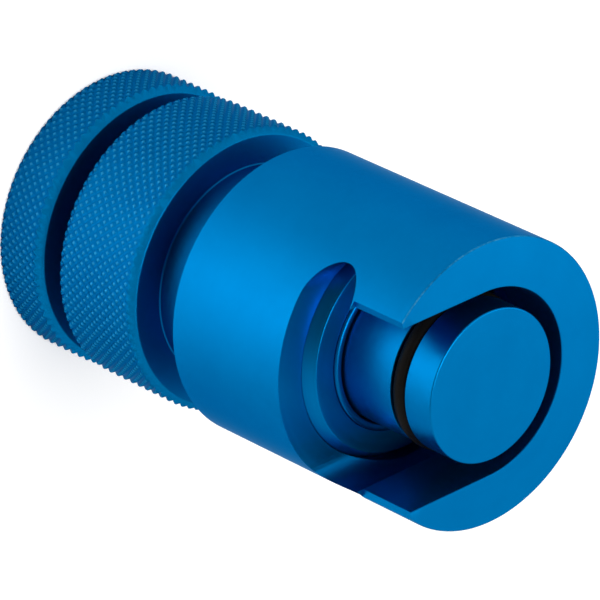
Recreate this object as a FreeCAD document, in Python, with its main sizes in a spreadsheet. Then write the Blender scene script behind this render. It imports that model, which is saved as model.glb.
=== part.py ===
import FreeCAD, Part
import math
import os
import Sketcher

# Pressure test plug for the beaded end of a tube, standing on its rear knob.
# Z runs up the plug's axis from the rear knob's end face, and the side slot opens towards -Y.

DRIVING_SIZES = {
    # lengths from the rear knob up to the slotted face
    "rear_ring_length": 6.15,
    "knob_gap": 3.2,
    "front_ring_length": 10.95,
    "housing_gap": 6.3,
    "housing_length": 28.95,
    # edges of the three large turned pieces
    "knob_chamfer": 0.75,
    "knob_back_chamfer": 0.15,
    "edge_chamfer": 0.1,
    # radial build, from the spigot out to the body's surface
    "spigot_diameter": 15.9,
    "nose_wall": 0.675,
    "boss_step": 1.625,
    "ring_wall": 1.5,
    "thread_step": 1.0,
    "housing_wall": 1.95,
    "neck_step": 1.8,
    # side slot and bead groove of the housing
    "tube_space": 1.9,
    "lip_thickness": 6.7,
    "groove_width": 6.7,
    "groove_undercut": 0.5,
    "mouth_chamfer": 0.8,
    "slot_edge_break": 0.15,
    # screw of the clamp knob
    "clamp_thread_length": 6.5,
    "boss_length": 3.5,
    "nose_stand_out": 0.3,
    "plunger_nut_length": 5.4,
    # pressure ring with its washer and snap ring
    "ring_length": 9.6,
    "ring_rest_height": 1.2,
    "ring_chamfer_width": 0.8,
    "ring_chamfer_height": 1.3,
    "ring_rear_gap": 0.4,
    "washer_thickness": 0.6,
    "washer_edge_gap": 0.2,
    "snap_wire": 1.0,
    "snap_side_gap": 0.1,
    "snap_opening": 24.0,
    # plunger and its seal
    "spigot_stand_out": 0.45,
    "head_length": 3.6,
    "head_chamfer": 0.1,
    "seal_section": 1.95,
    "seal_stand_out": 0.2,
    "seal_side_gap": 0.05,
    "shank_step": 0.95,
    "shoulder_chamfer": 0.5,
    # joint between the plunger and the rear knob
    "tail_diameter": 8.0,
    "tail_length": 2.3,
    "tail_flat_depth": 0.8,
    "tail_end_gap": 0.2,
    "screw_diameter": 4.0,
    "screw_length": 9.8,
    "screw_head_diameter": 7.5,
    "screw_sink": 0.1,
    "screw_hole_spare": 2.6,
    "socket_width": 2.5,
    "socket_depth": 1.1,
    # fits and travels
    "running_clearance": 0.05,
    "stop_clearance": 0.2,
    "clamp_forward": 4.8,
    "plunger_back": 14.0,
}

FULL_TURN = 360.0


class Length:
    """A length or angle, as its value now and as the text of a formula that gives it."""

    def __init__(self, value, text):
        self.value = value
        self.text = text

    def __add__(self, other):
        return Length(self.value + other.value, f"({self.text} + {other.text})")

    def __sub__(self, other):
        return Length(self.value - other.value, f"({self.text} - {other.text})")

    def __mul__(self, factor):
        return Length(self.value * factor, f"({self.text} * {factor!r})")

    def __truediv__(self, factor):
        return Length(self.value / factor, f"({self.text} / {factor!r})")

    def __neg__(self):
        return Length(-self.value, f"(-{self.text})")


ZERO = Length(0.0, "0 mm")


def make_sheet(doc):
    """The sheet of driving sizes, one named cell for each."""
    sheet = doc.addObject("Spreadsheet::Sheet", "Sizes")
    for row, (name, value) in enumerate(DRIVING_SIZES.items(), start=1):
        sheet.set(f"A{row}", name)
        sheet.set(f"B{row}", str(value))
        sheet.setAlias(f"B{row}", name)
    doc.recompute()
    return {name: Length(value, f"Sizes.{name}") for name, value in DRIVING_SIZES.items()}


def make_body(doc, name, height):
    """An empty piece whose own base lies at a height on the plug's axis."""
    body = doc.addObject("PartDesign::Body", name)
    body.Label = name
    body.Placement = FreeCAD.Placement(FreeCAD.Vector(0, 0, height.value), FreeCAD.Rotation())
    body.setExpression(".Placement.Base.z", height.text)
    return body


def make_sketch(body, name, plane, offset=None):
    """A sketch on one of the piece's own planes, or at an offset along that plane's normal."""
    sketch = body.newObject("Sketcher::SketchObject", name)
    roles = {feature.Role: feature for feature in body.Origin.OriginFeatures}
    sketch.AttachmentSupport = [(roles[plane], "")]
    sketch.MapMode = "FlatFace"
    if offset is not None:
        sketch.setExpression(".AttachmentOffset.Base.z", offset.text)
    return sketch


def set_size(sketch, index, length):
    """Bind a sketch dimension to its formula."""
    sketch.setExpression(f"Constraints[{index}]", length.text)


def fix_point(sketch, edge, end, across, up):
    """Hold one end of an edge at its place, on an axis where that place is zero."""
    if across is ZERO:
        sketch.addConstraint(Sketcher.Constraint("PointOnObject", edge, end, -2))
    else:
        index = sketch.addConstraint(Sketcher.Constraint("DistanceX", -1, 1, edge, end, across.value))
        set_size(sketch, index, across)
    if up is ZERO:
        sketch.addConstraint(Sketcher.Constraint("PointOnObject", edge, end, -1))
    else:
        index = sketch.addConstraint(Sketcher.Constraint("DistanceY", -1, 1, edge, end, up.value))
        set_size(sketch, index, up)


def draw_outline(sketch, corners):
    """A closed outline of straight lines through the corners."""
    points = [FreeCAD.Vector(across.value, up.value, 0) for across, up in corners]
    lines = []
    for start, end in zip(points, points[1:] + points[:1]):
        lines.append(sketch.addGeometry(Part.LineSegment(start, end)))
    for line, following in zip(lines, lines[1:] + lines[:1]):
        sketch.addConstraint(Sketcher.Constraint("Coincident", line, 2, following, 1))
    for line, (across, up) in zip(lines, corners):
        fix_point(sketch, line, 1, across, up)


def turn(body, name, corners):
    """A piece turned on a lathe: an outline of radius and height, swept round the Z axis."""
    sketch = make_sketch(body, name + "Outline", "XZ_Plane")
    draw_outline(sketch, corners)
    turned = body.newObject("PartDesign::Revolution", name)
    turned.Profile = sketch
    turned.ReferenceAxis = (sketch, ["V_Axis"])
    turned.Angle = FULL_TURN
    return turned


def cut(body, sketch, name, depth, upwards):
    """A pocket of a given depth from its sketch, along the sketch's normal or against it."""
    pocket = body.newObject("PartDesign::Pocket", name)
    pocket.Profile = sketch
    pocket.Type = "Length"
    pocket.Length = depth.value
    pocket.setExpression("Length", depth.text)
    pocket.Reversed = upwards
    return pocket


def chamfer(body, name, base, wanted, size):
    """A chamfer on the edges of the last feature that the test picks."""
    edges = [f"Edge{i}" for i, edge in enumerate(base.Shape.Edges, start=1) if wanted(edge)]
    feature = body.newObject("PartDesign::Chamfer", name)
    feature.Base = (base, edges)
    feature.Size = size.value
    feature.setExpression("Size", size.text)
    return feature


def nested_radii(s):
    """Radii, from the spigot outwards, that more than one piece needs."""
    clearance = s["running_clearance"]
    r = {}
    r["spigot"] = s["spigot_diameter"] / 2.0
    r["shank"] = r["spigot"] - s["shank_step"]
    r["seal_floor"] = r["spigot"] + s["seal_stand_out"] - s["seal_section"]
    r["guide_bore"] = r["spigot"] + clearance
    r["relief_bore"] = r["guide_bore"] + s["seal_stand_out"]
    r["nose"] = r["relief_bore"] + s["nose_wall"]
    r["boss"] = r["nose"] + s["boss_step"]
    r["ring"] = r["boss"] + s["ring_wall"]
    r["ring_bore"] = r["ring"] + clearance
    r["clamp_thread"] = r["ring"] + s["thread_step"]
    r["thread_bore"] = r["clamp_thread"] + clearance
    r["neck"] = r["clamp_thread"] - s["neck_step"]
    r["body"] = r["thread_bore"] + s["housing_wall"]
    r["half_slot"] = r["spigot"] + s["tube_space"]
    r["groove"] = r["ring_bore"] + s["groove_undercut"]
    r["tail"] = s["tail_diameter"] / 2.0
    r["screw"] = s["screw_diameter"] / 2.0
    r["screw_hole"] = r["screw"] + clearance
    return r


def stack_heights(s):
    """Heights on the plug's axis, at rest, that more than one piece needs."""
    z = {}
    z["clamp_knob"] = s["rear_ring_length"] + s["knob_gap"]
    z["housing"] = z["clamp_knob"] + s["front_ring_length"] + s["housing_gap"]
    z["front_face"] = z["housing"] + s["housing_length"]
    z["groove_front"] = z["front_face"] - s["lip_thickness"]
    z["groove_rear"] = z["groove_front"] - s["groove_width"]
    z["ring_front"] = z["groove_rear"] + s["ring_rest_height"]
    z["nose_front"] = z["ring_front"] + s["nose_stand_out"]
    z["ring_rear"] = z["ring_front"] - s["ring_length"]
    z["thread_top"] = z["ring_rear"] - s["ring_rear_gap"]
    z["thread_bottom"] = z["thread_top"] - s["clamp_thread_length"]
    z["bore_shoulder"] = z["thread_top"] + s["clamp_forward"] + s["stop_clearance"]
    z["boss_top"] = z["thread_top"] + s["boss_length"]
    z["ring_seat"] = z["boss_top"] + s["washer_thickness"]
    z["snap_centre"] = z["thread_top"] + s["boss_length"] / 2.0
    z["plunger_top"] = z["front_face"] + s["spigot_stand_out"]
    z["seal_seat_top"] = z["plunger_top"] - s["head_length"]
    z["seal_centre"] = z["seal_seat_top"] - s["seal_side_gap"] - s["seal_section"] / 2.0
    z["seal_seat_bottom"] = z["seal_seat_top"] - s["seal_section"] - s["seal_side_gap"] * 2.0
    z["guide_shoulder"] = z["clamp_knob"] + s["plunger_nut_length"]
    z["barrel_bottom"] = z["guide_shoulder"] + s["plunger_back"] + s["stop_clearance"]
    z["relief_bottom"] = z["seal_seat_bottom"] - s["plunger_back"] - s["stop_clearance"]
    z["tail_end"] = s["rear_ring_length"] - s["tail_length"]
    z["screw_hole_end"] = s["screw_sink"] + s["screw_length"] + s["screw_hole_spare"]
    return z


def draw_side_slot(sketch, half_width, reach):
    """A slot with parallel sides, closed by a half circle about the axis and open towards -Y."""
    centre = FreeCAD.Vector(0, 0, 0)
    upright = FreeCAD.Vector(0, 0, 1)
    right = FreeCAD.Vector(half_width.value, 0, 0)
    left = FreeCAD.Vector(-half_width.value, 0, 0)
    down = FreeCAD.Vector(0, -reach.value, 0)
    end = sketch.addGeometry(Part.ArcOfCircle(Part.Circle(centre, upright, half_width.value), 0, math.pi))
    left_side = sketch.addGeometry(Part.LineSegment(left, left + down))
    mouth = sketch.addGeometry(Part.LineSegment(left + down, right + down))
    right_side = sketch.addGeometry(Part.LineSegment(right + down, right))
    sketch.addConstraint(Sketcher.Constraint("Coincident", end, 3, -1, 1))
    index = sketch.addConstraint(Sketcher.Constraint("Radius", end, half_width.value))
    set_size(sketch, index, half_width)
    sketch.addConstraint(Sketcher.Constraint("PointOnObject", end, 1, -1))
    sketch.addConstraint(Sketcher.Constraint("PointOnObject", end, 2, -1))
    sketch.addConstraint(Sketcher.Constraint("Coincident", end, 2, left_side, 1))
    sketch.addConstraint(Sketcher.Constraint("Coincident", left_side, 2, mouth, 1))
    sketch.addConstraint(Sketcher.Constraint("Coincident", mouth, 2, right_side, 1))
    sketch.addConstraint(Sketcher.Constraint("Coincident", right_side, 2, end, 1))
    sketch.addConstraint(Sketcher.Constraint("Vertical", left_side))
    sketch.addConstraint(Sketcher.Constraint("Vertical", right_side))
    sketch.addConstraint(Sketcher.Constraint("Horizontal", mouth))
    index = sketch.addConstraint(Sketcher.Constraint("DistanceY", -1, 1, mouth, 1, -reach.value))
    set_size(sketch, index, -reach)


def draw_bead_groove(sketch, low, high, end_centre, whole):
    """The groove's section with full round ends: both ends, or one end and the axis."""
    end_radius = (high - low) / 2.0
    middle = (high + low) / 2.0
    view = FreeCAD.Vector(0, 0, 1)
    quarter = math.pi / 2.0

    def round_end(across, start):
        centre = FreeCAD.Vector(across.value, middle.value, 0)
        circle = Part.Circle(centre, view, end_radius.value)
        arc = sketch.addGeometry(Part.ArcOfCircle(circle, start, start + math.pi))
        fix_point(sketch, arc, 3, across, middle)
        index = sketch.addConstraint(Sketcher.Constraint("Radius", arc, end_radius.value))
        set_size(sketch, index, end_radius)
        sketch.addConstraint(Sketcher.Constraint("Vertical", arc, 1, arc, 3))
        sketch.addConstraint(Sketcher.Constraint("Vertical", arc, 2, arc, 3))
        return arc

    def straight(left, right, height):
        start = FreeCAD.Vector(left, height.value, 0)
        end = FreeCAD.Vector(right, height.value, 0)
        return sketch.addGeometry(Part.LineSegment(start, end))

    right_end = round_end(end_centre, -quarter)
    if whole:
        left_end = round_end(-end_centre, quarter)
        top = straight(-end_centre.value, end_centre.value, high)
        bottom = straight(-end_centre.value, end_centre.value, low)
        sketch.addConstraint(Sketcher.Constraint("Coincident", top, 1, left_end, 1))
        sketch.addConstraint(Sketcher.Constraint("Coincident", bottom, 1, left_end, 2))
    else:
        top = straight(0, end_centre.value, high)
        bottom = straight(0, end_centre.value, low)
        start = FreeCAD.Vector(0, low.value, 0)
        axis = sketch.addGeometry(Part.LineSegment(start, FreeCAD.Vector(0, high.value, 0)))
        sketch.addConstraint(Sketcher.Constraint("Coincident", top, 1, axis, 2))
        sketch.addConstraint(Sketcher.Constraint("Coincident", bottom, 1, axis, 1))
        sketch.addConstraint(Sketcher.Constraint("PointOnObject", axis, 1, -2))
        sketch.addConstraint(Sketcher.Constraint("PointOnObject", axis, 2, -2))
        sketch.addConstraint(Sketcher.Constraint("Horizontal", top))
        sketch.addConstraint(Sketcher.Constraint("Horizontal", bottom))
    sketch.addConstraint(Sketcher.Constraint("Coincident", top, 2, right_end, 2))
    sketch.addConstraint(Sketcher.Constraint("Coincident", bottom, 2, right_end, 1))


def make_housing(doc, s, r, z):
    """The slotted sleeve: threaded rear bore, ring bore, bead groove and lip."""
    body = make_body(doc, "housing", z["housing"])
    base = z["housing"]
    outer = r["body"]
    edge = s["edge_chamfer"]
    length = s["housing_length"]
    groove_low = z["groove_rear"] - base
    groove_high = z["groove_front"] - base
    groove_middle = (groove_low + groove_high) / 2.0
    shoulder = z["bore_shoulder"] - base
    turn(body, "HousingTurned", [
        (r["thread_bore"], ZERO),
        (outer - edge, ZERO),
        (outer, edge),
        (outer, length - edge),
        (outer - edge, length),
        (ZERO, length),
        (ZERO, groove_middle),
        (r["ring_bore"], groove_middle),
        (r["ring_bore"], shoulder),
        (r["thread_bore"], shoulder),
    ])

    half_slot = r["half_slot"]
    slot = make_sketch(body, "SideSlotOutline", "XY_Plane", length)
    draw_side_slot(slot, half_slot, outer * 2.0)
    cut(body, slot, "SideSlot", length - groove_middle, False)

    end_centre = r["groove"] - s["groove_width"] / 2.0
    ring_section = make_sketch(body, "GrooveRoundSection", "XZ_Plane")
    draw_bead_groove(ring_section, groove_low, groove_high, end_centre, False)
    round_groove = body.newObject("PartDesign::Groove", "BeadGroove")
    round_groove.Profile = ring_section
    round_groove.ReferenceAxis = (ring_section, ["V_Axis"])
    round_groove.Angle = FULL_TURN

    mouth_section = make_sketch(body, "GrooveMouthSection", "XZ_Plane")
    draw_bead_groove(mouth_section, groove_low, groove_high, end_centre, True)
    mouth = cut(body, mouth_section, "BeadGrooveMouth", outer * 2.0, True)
    doc.recompute()

    def at_slot_side(edge):
        across = [abs(abs(vertex.X) - half_slot.value) < 1e-4 for vertex in edge.Vertexes]
        upright = edge.BoundBox.YLength < 1e-4 and edge.BoundBox.ZLength > 1.0
        return len(edge.Vertexes) == 2 and all(across) and upright and edge.BoundBox.YMax < -1.0

    mouth_edges = chamfer(body, "MouthChamfer", mouth, at_slot_side, s["mouth_chamfer"])
    doc.recompute()

    front = length.value

    def at_slot_front(edge):
        box = edge.BoundBox
        at_front = abs(box.ZMin - front) < 1e-4 and abs(box.ZMax - front) < 1e-4
        inside = max(abs(box.XMin), abs(box.XMax)) < half_slot.value + 1e-4
        return at_front and inside

    chamfer(body, "SlotEdgeBreak", mouth_edges, at_slot_front, s["slot_edge_break"])
    return body


def make_clamp_knob(doc, s, r, z):
    """The front knurled knob: neck, clamp screw, boss and the thin nose round the plunger."""
    base = z["clamp_knob"]
    body = make_body(doc, "clamp_knob", base)
    outer = r["body"]
    edge = s["knob_chamfer"]
    back_edge = s["knob_back_chamfer"]
    neck = r["neck"]
    thread = r["clamp_thread"]
    boss = r["boss"]
    nose = r["nose"]
    nut_bore = r["shank"] + s["running_clearance"]
    groove_bottom = boss - s["snap_wire"] / 2.0 - s["snap_side_gap"]
    groove_half = s["snap_wire"] / 2.0 + s["snap_side_gap"]
    snap = z["snap_centre"] - base
    turn(body, "ClampKnobTurned", [
        (nut_bore, ZERO),
        (outer - back_edge, ZERO),
        (outer, back_edge),
        (outer, s["front_ring_length"] - edge),
        (outer - edge, s["front_ring_length"]),
        (neck, s["front_ring_length"]),
        (neck, z["thread_bottom"] - base),
        (thread, z["thread_bottom"] - base),
        (thread, z["thread_top"] - base),
        (boss, z["thread_top"] - base),
        (boss, snap - groove_half),
        (groove_bottom, snap - groove_half),
        (groove_bottom, snap + groove_half),
        (boss, snap + groove_half),
        (boss, z["boss_top"] - base),
        (nose, z["boss_top"] - base),
        (nose, z["nose_front"] - base),
        (r["relief_bore"], z["nose_front"] - base),
        (r["relief_bore"], z["relief_bottom"] - base),
        (r["guide_bore"], z["relief_bottom"] - base),
        (r["guide_bore"], z["guide_shoulder"] - base),
        (nut_bore, z["guide_shoulder"] - base),
    ])
    return body


def make_pressure_ring(doc, s, r, z):
    """The ring that bears on the tube's bead and doesn't turn with the knob behind it."""
    base = z["ring_rear"]
    body = make_body(doc, "pressure_ring", base)
    outer = r["ring"]
    nose_bore = r["nose"] + s["running_clearance"]
    boss_bore = r["boss"] + s["running_clearance"]
    groove_bottom = r["boss"] + s["snap_wire"] / 2.0 + s["snap_side_gap"]
    groove_half = s["snap_wire"] / 2.0 + s["snap_side_gap"]
    snap = z["snap_centre"] - base
    front = z["ring_front"] - base
    edge = s["edge_chamfer"]
    turn(body, "PressureRingTurned", [
        (boss_bore, ZERO),
        (outer - edge, ZERO),
        (outer, edge),
        (outer, front - s["ring_chamfer_height"]),
        (outer - s["ring_chamfer_width"], front),
        (nose_bore, front),
        (nose_bore, z["ring_seat"] - base),
        (boss_bore, z["ring_seat"] - base),
        (boss_bore, snap + groove_half),
        (groove_bottom, snap + groove_half),
        (groove_bottom, snap - groove_half),
        (boss_bore, snap - groove_half),
    ])
    return body


def make_thrust_washer(doc, s, r, z):
    """The flat washer between the turning boss and the ring's inner seat."""
    body = make_body(doc, "thrust_washer", z["boss_top"])
    inner = r["nose"] + s["running_clearance"]
    outer = r["boss"] - s["washer_edge_gap"]
    thickness = s["washer_thickness"]
    turn(body, "ThrustWasherTurned", [(inner, ZERO), (outer, ZERO), (outer, thickness), (inner, thickness)])
    return body


def make_round_ring(body, name, centre_radius, section, sweep):
    """A ring of round section about the axis, whole or open by part of a turn."""
    sketch = make_sketch(body, name + "Section", "XZ_Plane")
    centre = FreeCAD.Vector(centre_radius.value, 0, 0)
    circle = sketch.addGeometry(Part.Circle(centre, FreeCAD.Vector(0, 0, 1), section.value / 2.0))
    fix_point(sketch, circle, 3, centre_radius, ZERO)
    index = sketch.addConstraint(Sketcher.Constraint("Diameter", circle, section.value))
    set_size(sketch, index, section)
    ring = body.newObject("PartDesign::Revolution", name)
    ring.Profile = sketch
    ring.ReferenceAxis = (sketch, ["V_Axis"])
    ring.Angle = sweep.value
    ring.setExpression("Angle", sweep.text)
    return ring


def make_snap_ring(doc, s, r, z):
    """The open wire ring that keeps the pressure ring on the boss."""
    body = make_body(doc, "snap_ring", z["snap_centre"])
    sweep = Length(FULL_TURN, "360") - s["snap_opening"]
    make_round_ring(body, "SnapRingWire", r["boss"], s["snap_wire"], sweep)
    return body


def make_seal_ring(doc, s, r, z):
    """The round rubber ring that seals in the tube's bore."""
    body = make_body(doc, "seal_ring", z["seal_centre"])
    centre_radius = r["seal_floor"] + s["seal_section"] / 2.0
    make_round_ring(body, "SealRingTurned", centre_radius, s["seal_section"], Length(FULL_TURN, "360"))
    return body


def make_plunger(doc, s, r, z):
    """The spigot with its seal groove, screw shank, flatted tail and tapped end."""
    base = z["tail_end"]
    body = make_body(doc, "plunger", base)
    spigot = r["spigot"]
    seat = r["seal_floor"] - s["running_clearance"]
    shank = r["shank"]
    tail = r["tail"]
    hole = r["screw_hole"]
    hole_end = z["screw_hole_end"] - base
    top = z["plunger_top"] - base
    edge = s["head_chamfer"]
    bevel = s["shoulder_chamfer"]
    barrel = z["barrel_bottom"] - base
    turn(body, "PlungerTurned", [
        (ZERO, top),
        (spigot - edge, top),
        (spigot, top - edge),
        (spigot, z["seal_seat_top"] - base),
        (seat, z["seal_seat_top"] - base),
        (seat, z["seal_seat_bottom"] - base),
        (spigot, z["seal_seat_bottom"] - base),
        (spigot, barrel + bevel),
        (spigot - bevel, barrel),
        (shank, barrel),
        (shank, s["tail_length"]),
        (tail, s["tail_length"]),
        (tail, ZERO),
        (hole, ZERO),
        (hole, hole_end),
        (ZERO, hole_end + hole),
    ])
    flat = tail - s["tail_flat_depth"]
    flat_outline = make_sketch(body, "TailFlatOutline", "XY_Plane")
    draw_outline(flat_outline, [
        (flat, -tail),
        (tail * 2.0, -tail),
        (tail * 2.0, tail),
        (flat, tail),
    ])
    cut(body, flat_outline, "TailFlat", s["tail_length"], True)
    return body


def draw_flatted_bore(sketch, radius, flat):
    """A round hole with one flat side."""
    half_angle = math.acos(flat.value / radius.value)
    centre = FreeCAD.Vector(0, 0, 0)
    circle = Part.Circle(centre, FreeCAD.Vector(0, 0, 1), radius.value)
    arc = sketch.addGeometry(Part.ArcOfCircle(circle, half_angle, 2.0 * math.pi - half_angle))
    half_chord = radius.value * math.sin(half_angle)
    low = FreeCAD.Vector(flat.value, -half_chord, 0)
    high = FreeCAD.Vector(flat.value, half_chord, 0)
    line = sketch.addGeometry(Part.LineSegment(low, high))
    sketch.addConstraint(Sketcher.Constraint("Coincident", arc, 3, -1, 1))
    index = sketch.addConstraint(Sketcher.Constraint("Radius", arc, radius.value))
    set_size(sketch, index, radius)
    sketch.addConstraint(Sketcher.Constraint("Coincident", arc, 2, line, 1))
    sketch.addConstraint(Sketcher.Constraint("Coincident", line, 2, arc, 1))
    sketch.addConstraint(Sketcher.Constraint("Vertical", line))
    index = sketch.addConstraint(Sketcher.Constraint("DistanceX", -1, 1, line, 1, flat.value))
    set_size(sketch, index, flat)


def make_rear_knob(doc, s, r, z):
    """The rear knurled ring that turns the plunger, and the face that the plug stands on."""
    body = make_body(doc, "rear_knob", ZERO)
    outer = r["body"]
    clearance = s["running_clearance"]
    edge = s["knob_chamfer"]
    back_edge = s["knob_back_chamfer"]
    top = s["rear_ring_length"]
    hole = r["screw_hole"]
    sink = s["screw_head_diameter"] / 2.0 + s["screw_sink"] + clearance
    turn(body, "RearKnobTurned", [
        (sink, ZERO),
        (outer - back_edge, ZERO),
        (outer, back_edge),
        (outer, top - edge),
        (outer - edge, top),
        (hole, top),
        (hole, sink - hole),
    ])
    bore = make_sketch(body, "TailBoreOutline", "XY_Plane", top)
    tail_bore = r["tail"] + clearance
    draw_flatted_bore(bore, tail_bore, tail_bore - s["tail_flat_depth"])
    cut(body, bore, "TailBore", s["tail_length"] + s["tail_end_gap"], False)
    return body


def make_knob_screw(doc, s, r, z):
    """The countersunk screw that holds the rear knob on the plunger's tail."""
    base = s["screw_sink"]
    body = make_body(doc, "knob_screw", base)
    head = s["screw_head_diameter"] / 2.0
    shank = r["screw"]
    turn(body, "KnobScrewTurned", [
        (ZERO, ZERO),
        (head, ZERO),
        (shank, head - shank),
        (shank, s["screw_length"]),
        (ZERO, s["screw_length"]),
    ])
    corner = s["socket_width"] / math.sqrt(3.0)
    across = corner * math.cos(math.pi / 3.0)
    up = s["socket_width"] / 2.0
    socket = make_sketch(body, "SocketOutline", "XY_Plane")
    draw_outline(socket, [
        (corner, ZERO),
        (across, up),
        (-across, up),
        (-corner, ZERO),
        (-across, -up),
        (across, -up),
    ])
    cut(body, socket, "Socket", s["socket_depth"], True)
    return body


def check_document(doc, bodies):
    """Stop if any object failed or any piece isn't one valid solid."""
    for item in doc.Objects:
        if "Invalid" in item.State or "Error" in item.State:
            raise RuntimeError(f"{item.Name} failed: {item.State}")
    for body in bodies:
        shape = body.Shape
        if shape.isNull() or not shape.isValid() or len(shape.Solids) != 1:
            raise RuntimeError(f"{body.Label} isn't one valid solid")


def main():
    doc = FreeCAD.newDocument("PressureTestPlug")
    s = make_sheet(doc)
    r = nested_radii(s)
    z = stack_heights(s)
    makers = [
        make_housing,
        make_clamp_knob,
        make_pressure_ring,
        make_thrust_washer,
        make_snap_ring,
        make_plunger,
        make_seal_ring,
        make_rear_knob,
        make_knob_screw,
    ]
    bodies = [make(doc, s, r, z) for make in makers]
    doc.recompute()
    check_document(doc, bodies)
    os.makedirs("parts", exist_ok=True)
    for body in bodies:
        body.Shape.exportStep(f"parts/{body.Label}.step")
        box = body.Shape.BoundBox
        print(f"{body.Label}: {body.Shape.Volume:.1f} mm3, z {box.ZMin:.2f} to {box.ZMax:.2f}")


main()
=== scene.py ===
import math

import bmesh
import bpy
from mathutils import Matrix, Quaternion, Vector


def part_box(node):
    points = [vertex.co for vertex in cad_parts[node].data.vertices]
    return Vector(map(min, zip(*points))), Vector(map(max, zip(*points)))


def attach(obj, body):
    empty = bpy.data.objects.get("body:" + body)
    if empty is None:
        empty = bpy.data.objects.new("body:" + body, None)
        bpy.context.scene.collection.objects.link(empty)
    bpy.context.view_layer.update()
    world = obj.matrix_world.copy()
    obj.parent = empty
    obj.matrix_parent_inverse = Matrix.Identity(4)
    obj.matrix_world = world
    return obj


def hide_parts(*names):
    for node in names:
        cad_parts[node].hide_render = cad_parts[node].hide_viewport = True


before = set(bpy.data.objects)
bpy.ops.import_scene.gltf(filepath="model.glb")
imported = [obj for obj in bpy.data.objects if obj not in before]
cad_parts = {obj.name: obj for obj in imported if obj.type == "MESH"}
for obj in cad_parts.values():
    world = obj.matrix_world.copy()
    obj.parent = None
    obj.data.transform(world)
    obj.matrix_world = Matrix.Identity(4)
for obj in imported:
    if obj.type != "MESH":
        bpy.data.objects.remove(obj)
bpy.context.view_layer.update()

mm = 0.001

touch = 0.001 * mm    # places closer than this are the same
toolOver = 3 * mm     # how far a cutting tool stands past the piece
turnOver = 0.3 * mm   # how far a turned blank stands past the knurl or thread cut into it
cutSmooth = 22        # degrees, keeps the edges of knurls and threads sharp


# Picking and shaping in edit mode

def startClean():
    if bpy.context.object and bpy.context.object.mode != "OBJECT":
        bpy.ops.object.mode_set(mode="OBJECT")
    bpy.ops.object.select_all(action="DESELECT")


def makeActive(piece):
    startClean()
    piece.select_set(True)
    bpy.context.view_layer.objects.active = piece


def openPiece(piece):
    makeActive(piece)
    bpy.ops.object.mode_set(mode="EDIT")


def closePiece():
    bpy.ops.object.mode_set(mode="OBJECT")


def newPiece(name):
    # the primitive just added gets its name, and its place goes into the mesh
    piece = bpy.context.object
    piece.name = name
    piece.data.name = name
    bpy.ops.object.transform_apply(location=True, rotation=True, scale=True)
    return piece


def pick(piece, kind, wanted):
    # selects only the vertices, edges or faces that the test wants
    bpy.ops.mesh.select_mode(type={"verts": "VERT", "edges": "EDGE", "faces": "FACE"}[kind])
    bpy.ops.mesh.select_all(action="DESELECT")
    shape = bmesh.from_edit_mesh(piece.data)
    for item in getattr(shape, kind):
        if wanted(item):
            item.select_set(True)
    bmesh.update_edit_mesh(piece.data)


def tidyShell(piece, weld=0.0005 * mm):
    openPiece(piece)
    bpy.ops.mesh.select_all(action="SELECT")
    bpy.ops.mesh.remove_doubles(threshold=weld)
    bpy.ops.mesh.normals_make_consistent(inside=False)
    closePiece()


def trimBetween(low, high):
    # a fine threshold, since the operator's own would leave steps at the cut
    fine = 0.0001 * mm
    bpy.ops.mesh.select_all(action="SELECT")
    bpy.ops.mesh.bisect(plane_co=(0, 0, low), plane_no=(0, 0, 1), clear_inner=True, threshold=fine)
    bpy.ops.mesh.select_all(action="SELECT")
    bpy.ops.mesh.bisect(plane_co=(0, 0, high), plane_no=(0, 0, 1), clear_outer=True, threshold=fine)


def ringTo(radius, height, lastRadius, lastHeight):
    # the selected ring is drawn out to the next radius and height
    bpy.ops.mesh.extrude_edges_move(TRANSFORM_OT_translate={"value": (0, 0, height - lastHeight)})
    if radius != lastRadius:
        grow = radius / lastRadius
        bpy.ops.transform.resize(value=(grow, grow, 1), center_override=(0, 0, height))


def turnPiece(name, outline, sides=192, hollow=True):
    # turned on the lathe: one circle drawn up ring by ring, then closed on its start or capped
    startClean()
    radius, height = outline[0]
    bpy.ops.mesh.primitive_circle_add(vertices=sides, radius=radius, location=(0, 0, height))
    piece = newPiece(name)
    openPiece(piece)
    bpy.ops.mesh.select_mode(type="EDGE")
    bpy.ops.mesh.select_all(action="SELECT")
    if not hollow:
        bpy.ops.mesh.edge_face_add()
        pick(piece, "edges", lambda edge: True)
    for nextRadius, nextHeight in outline[1:] + (outline[:1] if hollow else []):
        ringTo(nextRadius, nextHeight, radius, height)
        radius, height = nextRadius, nextHeight
    if not hollow:
        bpy.ops.mesh.edge_face_add()
    closePiece()
    tidyShell(piece)
    return piece


def useModifier(piece, kind, **settings):
    makeActive(piece)
    modifier = piece.modifiers.new(kind.lower(), kind)
    for name, value in settings.items():
        setattr(modifier, name, value)
    bpy.ops.object.modifier_apply(modifier=modifier.name)


def machine(piece, tool, operation="DIFFERENCE"):
    # the tool's shape is cut from the piece, or shared with it, and the tool is put away
    useModifier(piece, "BOOLEAN", object=tool, operation=operation, solver="EXACT")
    bpy.data.objects.remove(tool)


def smoothBy(piece, angle):
    makeActive(piece)
    bpy.ops.object.shade_smooth_by_angle(angle=math.radians(angle))


def breakEdges(piece, width, segments=2, angle=30):
    useModifier(piece, "BEVEL", width=width, segments=segments, limit_method="ANGLE",
                angle_limit=math.radians(angle), use_clamp_overlap=True)
    smoothBy(piece, angle)
    useModifier(piece, "WEIGHTED_NORMAL", keep_sharp=True, weight=60)


def dress(piece, node, body, material):
    piece.data.materials.clear()
    piece.data.materials.append(material)
    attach(piece, body)
    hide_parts(node)


# Sizes that the frame gives, in metres

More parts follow.
